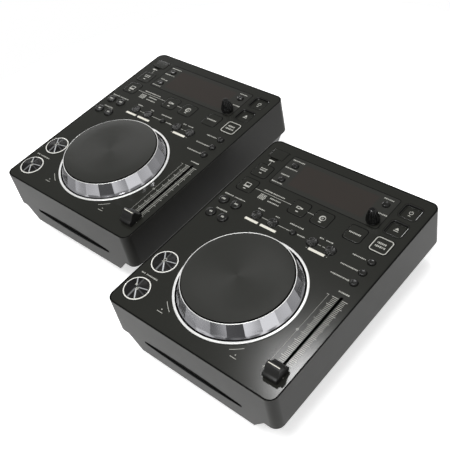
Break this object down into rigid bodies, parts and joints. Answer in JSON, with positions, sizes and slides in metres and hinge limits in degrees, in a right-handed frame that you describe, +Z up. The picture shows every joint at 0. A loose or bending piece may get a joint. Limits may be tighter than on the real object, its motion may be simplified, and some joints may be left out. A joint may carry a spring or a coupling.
{
  "type": "dual cd player for dj",
  "caption": "Pair of tabletop disc players for a DJ, each with a fluted jog wheel, a tempo slider, a display window, transport and loop keys, a rotary selector and a front disc slot.",
  "frame": {"origin": "on the floor below the middle of the pair's bounding box", "axes": "+X to the user's right, +Y away from the user, +Z up"},
  "size_m": [0.4778, 0.3612, 0.1057],
  "materials": {
    "case_plastic": "fine moulded grain",
    "panel_plastic": "satin",
    "chassis_steel": "black zinc sheet",
    "chrome": "plated and polished",
    "jog_plate": "satin black, spun",
    "cap_plastic": "soft black",
    "key_plastic": "satin black",
    "transport_key": "gloss black, spun pattern",
    "shaft_steel": "turned",
    "smoked_window": "smoked clear acrylic, polished",
    "light_ring": "frosted clear",
    "bearing_metal": "turned",
    "circuit_board": "green resist",
    "drive_steel": "zinc sheet",
    "socket_metal": "nickel plate and black moulding",
    "foot_rubber": "matte",
    "screw_steel": "black zinc"
  },
  "bodies": {
    "housing": {"left_case": "case_plastic", "left_top_panel": "panel_plastic", "left_lower_chassis": "chassis_steel", "right_case": "case_plastic", "right_top_panel": "panel_plastic", "right_lower_chassis": "chassis_steel", "display_lenses": "smoked_window", "light_rings": "light_ring", "jog_bearings": "bearing_metal", "circuit_boards": "circuit_board", "disc_drives": "drive_steel", "rear_sockets": "socket_metal", "rubber_feet": "foot_rubber", "screws": "screw_steel"},
    "left_jog_ring": {"left_jog_ring": "chrome"},
    "left_jog_plate": {"left_jog_plate": "jog_plate"},
    "left_slider_cap": {"left_slider_cap": "cap_plastic"},
    "left_selector_shaft": {"left_selector_shaft": "shaft_steel"},
    "left_selector_knob": {"left_selector_knob": "cap_plastic"},
    "left_usb_stop_button": {"left_usb_stop_button": "key_plastic"},
    "left_link_button": {"left_link_button": "key_plastic"},
    "left_usb_button": {"left_usb_button": "key_plastic"},
    "left_disc_button": {"left_disc_button": "key_plastic"},
    "left_playlist_button": {"left_playlist_button": "key_plastic"},
    "left_bpm_lock_button": {"left_bpm_lock_button": "key_plastic"},
    "left_power_button": {"left_power_button": "key_plastic"},
    "left_eject_button": {"left_eject_button": "key_plastic"},
    "left_cue_button": {"left_cue_button": "transport_key"},
    "left_play_button": {"left_play_button": "transport_key"},
    "left_display_keys": {"left_display_keys": "key_plastic"},
    "left_back_button": {"left_back_button": "key_plastic"},
    "left_track_search_keys": {"left_track_search_keys": "key_plastic"},
    "left_search_keys": {"left_search_keys": "key_plastic"},
    "left_loop_keys": {"left_loop_keys": "key_plastic"},
    "left_beat_loop_keys": {"left_beat_loop_keys": "key_plastic"},
    "left_mode_keys": {"left_mode_keys": "key_plastic"},
    "left_port_cap": {"left_port_cap": "case_plastic"},
    "right_jog_ring": {"right_jog_ring": "chrome"},
    "right_jog_plate": {"right_jog_plate": "jog_plate"},
    "right_slider_cap": {"right_slider_cap": "cap_plastic"},
    "right_selector_shaft": {"right_selector_shaft": "shaft_steel"},
    "right_selector_knob": {"right_selector_knob": "cap_plastic"},
    "right_usb_stop_button": {"right_usb_stop_button": "key_plastic"},
    "right_link_button": {"right_link_button": "key_plastic"},
    "right_usb_button": {"right_usb_button": "key_plastic"},
    "right_disc_button": {"right_disc_button": "key_plastic"},
    "right_playlist_button": {"right_playlist_button": "key_plastic"},
    "right_bpm_lock_button": {"right_bpm_lock_button": "key_plastic"},
    "right_power_button": {"right_power_button": "key_plastic"},
    "right_eject_button": {"right_eject_button": "key_plastic"},
    "right_cue_button": {"right_cue_button": "transport_key"},
    "right_play_button": {"right_play_button": "transport_key"},
    "right_display_keys": {"right_display_keys": "key_plastic"},
    "right_back_button": {"right_back_button": "key_plastic"},
    "right_track_search_keys": {"right_track_search_keys": "key_plastic"},
    "right_search_keys": {"right_search_keys": "key_plastic"},
    "right_loop_keys": {"right_loop_keys": "key_plastic"},
    "right_beat_loop_keys": {"right_beat_loop_keys": "key_plastic"},
    "right_mode_keys": {"right_mode_keys": "key_plastic"},
    "right_port_cap": {"right_port_cap": "case_plastic"}
  },
  "joints": [
    {"name": "left_jog_spin", "type": "hinge", "parent": "housing", "child": "left_jog_ring", "pos_m": [-0.12965, -0.02635, 0.087], "axis": [0, 0, 1], "continuous": true},
    {"name": "left_jog_plate_press", "type": "slide", "parent": "left_jog_ring", "child": "left_jog_plate", "axis": [0, 0, 1], "range_m": [-0.0004, 0], "stiffness_N_per_m": 3000, "springref_m": 0.001},
    {"name": "left_tempo_slide", "type": "slide", "parent": "housing", "child": "left_slider_cap", "axis": [0, 1, 0], "range_m": [0, 0.1]},
    {"name": "left_selector_shaft_press", "type": "slide", "parent": "housing", "child": "left_selector_shaft", "axis": [0, 0, 1], "range_m": [-0.0005, 0], "stiffness_N_per_m": 600, "springref_m": 0.001},
    {"name": "left_selector_turn", "type": "hinge", "parent": "left_selector_shaft", "child": "left_selector_knob", "pos_m": [-0.06835, 0.11745, 0.087], "axis": [0, 0, 1], "continuous": true},
    {"name": "left_usb_stop_button_press", "type": "slide", "parent": "housing", "child": "left_usb_stop_button", "axis": [0, 0, 1], "range_m": [-0.001, 0], "stiffness_N_per_m": 400, "springref_m": 0.001},
    {"name": "left_link_button_press", "type": "slide", "parent": "housing", "child": "left_link_button", "axis": [0, 0, 1], "range_m": [-0.001, 0], "stiffness_N_per_m": 400, "springref_m": 0.001},
    {"name": "left_usb_button_press", "type": "slide", "parent": "housing", "child": "left_usb_button", "axis": [0, 0, 1], "range_m": [-0.001, 0], "stiffness_N_per_m": 400, "springref_m": 0.001},
    {"name": "left_disc_button_press", "type": "slide", "parent": "housing", "child": "left_disc_button", "axis": [0, 0, 1], "range_m": [-0.001, 0], "stiffness_N_per_m": 400, "springref_m": 0.001},
    {"name": "left_playlist_button_press", "type": "slide", "parent": "housing", "child": "left_playlist_button", "axis": [0, 0, 1], "range_m": [-0.001, 0], "stiffness_N_per_m": 400, "springref_m": 0.001},
    {"name": "left_bpm_lock_button_press", "type": "slide", "parent": "housing", "child": "left_bpm_lock_button", "axis": [0, 0, 1], "range_m": [-0.001, 0], "stiffness_N_per_m": 400, "springref_m": 0.001},
    {"name": "left_power_button_press", "type": "slide", "parent": "housing", "child": "left_power_button", "axis": [0, 0, 1], "range_m": [-0.001, 0], "stiffness_N_per_m": 400, "springref_m": 0.001},
    {"name": "left_eject_button_press", "type": "slide", "parent": "housing", "child": "left_eject_button", "axis": [0, 0, 1], "range_m": [-0.001, 0], "stiffness_N_per_m": 400, "springref_m": 0.001},
    {"name": "left_display_keys_press", "type": "slide", "parent": "housing", "child": "left_display_keys", "axis": [0, 0, 1], "range_m": [-0.001, 0], "stiffness_N_per_m": 400, "springref_m": 0.001},
    {"name": "left_back_button_press", "type": "slide", "parent": "housing", "child": "left_back_button", "axis": [0, 0, 1], "range_m": [-0.001, 0], "stiffness_N_per_m": 400, "springref_m": 0.001},
    {"name": "left_track_search_keys_press", "type": "slide", "parent": "housing", "child": "left_track_search_keys", "axis": [0, 0, 1], "range_m": [-0.001, 0], "stiffness_N_per_m": 400, "springref_m": 0.001},
    {"name": "left_search_keys_press", "type": "slide", "parent": "housing", "child": "left_search_keys", "axis": [0, 0, 1], "range_m": [-0.001, 0], "stiffness_N_per_m": 400, "springref_m": 0.001},
    {"name": "left_loop_keys_press", "type": "slide", "parent": "housing", "child": "left_loop_keys", "axis": [0, 0, 1], "range_m": [-0.001, 0], "stiffness_N_per_m": 400, "springref_m": 0.001},
    {"name": "left_beat_loop_keys_press", "type": "slide", "parent": "housing", "child": "left_beat_loop_keys", "axis": [0, 0, 1], "range_m": [-0.001, 0], "stiffness_N_per_m": 400, "springref_m": 0.001},
    {"name": "left_mode_keys_press", "type": "slide", "parent": "housing", "child": "left_mode_keys", "axis": [0, 0, 1], "range_m": [-0.001, 0], "stiffness_N_per_m": 400, "springref_m": 0.001},
    {"name": "left_cue_button_press", "type": "slide", "parent": "housing", "child": "left_cue_button", "axis": [0, 0, 1], "range_m": [-0.0015, 0], "stiffness_N_per_m": 400, "springref_m": 0.001},
    {"name": "left_play_button_press", "type": "slide", "parent": "housing", "child": "left_play_button", "axis": [0, 0, 1], "range_m": [-0.0015, 0], "stiffness_N_per_m": 400, "springref_m": 0.001},
    {"name": "left_port_cap_hinge", "type": "hinge", "parent": "housing", "child": "left_port_cap", "pos_m": [-0.21895, 0.15775, 0.0864], "axis": [-1, 0, 0], "range_deg": [0, 100]},
    {"name": "right_jog_spin", "type": "hinge", "parent": "housing", "child": "right_jog_ring", "pos_m": [0.12965, -0.09375, 0.087], "axis": [0, 0, 1], "continuous": true},
    {"name": "right_jog_plate_press", "type": "slide", "parent": "right_jog_ring", "child": "right_jog_plate", "axis": [0, 0, 1], "range_m": [-0.0004, 0], "stiffness_N_per_m": 3000, "springref_m": 0.001},
    {"name": "right_tempo_slide", "type": "slide", "parent": "housing", "child": "right_slider_cap", "axis": [0, 1, 0], "range_m": [0, 0.1]},
    {"name": "right_selector_shaft_press", "type": "slide", "parent": "housing", "child": "right_selector_shaft", "axis": [0, 0, 1], "range_m": [-0.0005, 0], "stiffness_N_per_m": 600, "springref_m": 0.001},
    {"name": "right_selector_turn", "type": "hinge", "parent": "right_selector_shaft", "child": "right_selector_knob", "pos_m": [0.19095, 0.05005, 0.087], "axis": [0, 0, 1], "continuous": true},
    {"name": "right_usb_stop_button_press", "type": "slide", "parent": "housing", "child": "right_usb_stop_button", "axis": [0, 0, 1], "range_m": [-0.001, 0], "stiffness_N_per_m": 400, "springref_m": 0.001},
    {"name": "right_link_button_press", "type": "slide", "parent": "housing", "child": "right_link_button", "axis": [0, 0, 1], "range_m": [-0.001, 0], "stiffness_N_per_m": 400, "springref_m": 0.001},
    {"name": "right_usb_button_press", "type": "slide", "parent": "housing", "child": "right_usb_button", "axis": [0, 0, 1], "range_m": [-0.001, 0], "stiffness_N_per_m": 400, "springref_m": 0.001},
    {"name": "right_disc_button_press", "type": "slide", "parent": "housing", "child": "right_disc_button", "axis": [0, 0, 1], "range_m": [-0.001, 0], "stiffness_N_per_m": 400, "springref_m": 0.001},
    {"name": "right_playlist_button_press", "type": "slide", "parent": "housing", "child": "right_playlist_button", "axis": [0, 0, 1], "range_m": [-0.001, 0], "stiffness_N_per_m": 400, "springref_m": 0.001},
    {"name": "right_bpm_lock_button_press", "type": "slide", "parent": "housing", "child": "right_bpm_lock_button", "axis": [0, 0, 1], "range_m": [-0.001, 0], "stiffness_N_per_m": 400, "springref_m": 0.001},
    {"name": "right_power_button_press", "type": "slide", "parent": "housing", "child": "right_power_button", "axis": [0, 0, 1], "range_m": [-0.001, 0], "stiffness_N_per_m": 400, "springref_m": 0.001},
    {"name": "right_eject_button_press", "type": "slide", "parent": "housing", "child": "right_eject_button", "axis": [0, 0, 1], "range_m": [-0.001, 0], "stiffness_N_per_m": 400, "springref_m": 0.001},
    {"name": "right_display_keys_press", "type": "slide", "parent": "housing", "child": "right_display_keys", "axis": [0, 0, 1], "range_m": [-0.001, 0], "stiffness_N_per_m": 400, "springref_m": 0.001},
    {"name": "right_back_button_press", "type": "slide", "parent": "housing", "child": "right_back_button", "axis": [0, 0, 1], "range_m": [-0.001, 0], "stiffness_N_per_m": 400, "springref_m": 0.001},
    {"name": "right_track_search_keys_press", "type": "slide", "parent": "housing", "child": "right_track_search_keys", "axis": [0, 0, 1], "range_m": [-0.001, 0], "stiffness_N_per_m": 400, "springref_m": 0.001},
    {"name": "right_search_keys_press", "type": "slide", "parent": "housing", "child": "right_search_keys", "axis": [0, 0, 1], "range_m": [-0.001, 0], "stiffness_N_per_m": 400, "springref_m": 0.001},
    {"name": "right_loop_keys_press", "type": "slide", "parent": "housing", "child": "right_loop_keys", "axis": [0, 0, 1], "range_m": [-0.001, 0], "stiffness_N_per_m": 400, "springref_m": 0.001},
    {"name": "right_beat_loop_keys_press", "type": "slide", "parent": "housing", "child": "right_beat_loop_keys", "axis": [0, 0, 1], "range_m": [-0.001, 0], "stiffness_N_per_m": 400, "springref_m": 0.001},
    {"name": "right_mode_keys_press", "type": "slide", "parent": "housing", "child": "right_mode_keys", "axis": [0, 0, 1], "range_m": [-0.001, 0], "stiffness_N_per_m": 400, "springref_m": 0.001},
    {"name": "right_cue_button_press", "type": "slide", "parent": "housing", "child": "right_cue_button", "axis": [0, 0, 1], "range_m": [-0.0015, 0], "stiffness_N_per_m": 400, "springref_m": 0.001},
    {"name": "right_play_button_press", "type": "slide", "parent": "housing", "child": "right_play_button", "axis": [0, 0, 1], "range_m": [-0.0015, 0], "stiffness_N_per_m": 400, "springref_m": 0.001},
    {"name": "right_port_cap_hinge", "type": "hinge", "parent": "housing", "child": "right_port_cap", "pos_m": [0.04035, 0.09035, 0.0864], "axis": [-1, 0, 0], "range_deg": [0, 100]}
  ]
}
